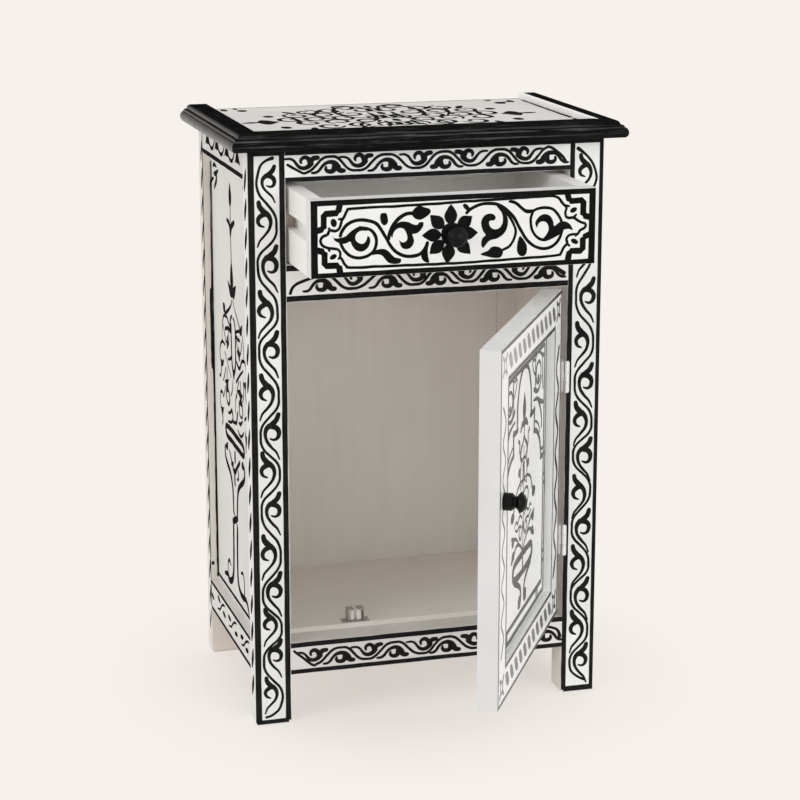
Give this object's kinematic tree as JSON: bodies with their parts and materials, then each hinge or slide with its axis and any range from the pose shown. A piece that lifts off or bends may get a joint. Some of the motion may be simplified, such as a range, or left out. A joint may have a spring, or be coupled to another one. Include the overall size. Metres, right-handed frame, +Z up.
{
  "type": "nightstand",
  "caption": "Tall square-legged nightstand with a painted post-and-rail case, a drawer over a framed panel door, turned knobs and a moulded top; drawer slides and door swings.",
  "frame": {"origin": "on the floor, under the middle of the four posts", "axes": "+Z up, the front with drawer and door faces -Y, +X to the right seen from the front"},
  "size_m": [0.4444, 0.5419, 0.6665],
  "materials": {
    "painted_wood": "hand-painted off-white satin, with black brushed ornament",
    "inside_wood": "matt off-white wash",
    "bare_wood": "bare planed wood",
    "black_wood": "black satin paint",
    "steel": "plain bright steel",
    "roller_plastic": "smooth white"
  },
  "bodies": {
    "case": {"post_front_left": "painted_wood", "post_front_right": "painted_wood", "post_back_left": "painted_wood", "post_back_right": "painted_wood", "rail_front_top": "painted_wood", "rail_front_middle": "painted_wood", "rail_front_bottom": "painted_wood", "rail_back_top": "painted_wood", "rail_back_bottom": "painted_wood", "rail_side_top_left": "painted_wood", "rail_side_top_right": "painted_wood", "rail_side_bottom_left": "painted_wood", "rail_side_bottom_right": "painted_wood", "side_panel_left": "painted_wood", "side_panel_right": "painted_wood", "top_panel": "painted_wood", "back_panel": "inside_wood", "floor_board": "inside_wood", "dust_board": "inside_wood", "floor_cleat_left": "inside_wood", "floor_cleat_right": "inside_wood", "dust_board_cleat_left": "inside_wood", "dust_board_cleat_right": "inside_wood", "drawer_runner_left": "bare_wood", "drawer_runner_right": "bare_wood", "top_moulding_front": "black_wood", "top_moulding_left": "black_wood", "top_moulding_right": "black_wood", "hinge_upper_post_leaf": "steel", "hinge_lower_post_leaf": "steel", "hinge_upper_pin": "steel", "hinge_lower_pin": "steel", "hinge_post_screws": "steel", "catch_bracket": "steel", "catch_roller_pins": "steel", "catch_screws": "steel"},
    "drawer": {"drawer_front": "painted_wood", "drawer_side_left": "painted_wood", "drawer_side_right": "painted_wood", "drawer_back": "painted_wood", "drawer_bottom": "inside_wood", "drawer_knob": "black_wood", "drawer_knob_screw": "steel"},
    "door": {"door_stile_free": "painted_wood", "door_stile_hinge": "painted_wood", "door_rail_top": "painted_wood", "door_rail_bottom": "painted_wood", "door_panel": "painted_wood", "door_knob": "black_wood", "door_knob_screw": "steel", "hinge_upper_door_leaf": "steel", "hinge_lower_door_leaf": "steel", "hinge_door_screws": "steel", "strike_plate": "steel", "strike_screws": "steel"},
    "roller_left": {"catch_roller_left": "roller_plastic"},
    "roller_right": {"catch_roller_right": "roller_plastic"}
  },
  "joints": [
    {"name": "drawer_slide", "type": "slide", "parent": "case", "child": "drawer", "axis": [0, -1, 0], "range_m": [-0.0915, 0.0685]},
    {"name": "door_hinge", "type": "hinge", "parent": "case", "child": "door", "pos_m": [0.15965, -0.1375, 0.283], "axis": [0, 0, 1], "range_deg": [-59, 110]},
    {"name": "catch_roller_left_spin", "type": "hinge", "parent": "case", "child": "roller_left", "pos_m": [-0.0799, -0.0925, 0.1064], "axis": [0, 0, 1], "continuous": true},
    {"name": "catch_roller_right_spin", "type": "hinge", "parent": "case", "child": "roller_right", "pos_m": [-0.0711, -0.0925, 0.1064], "axis": [0, 0, 1], "continuous": true}
  ]
}
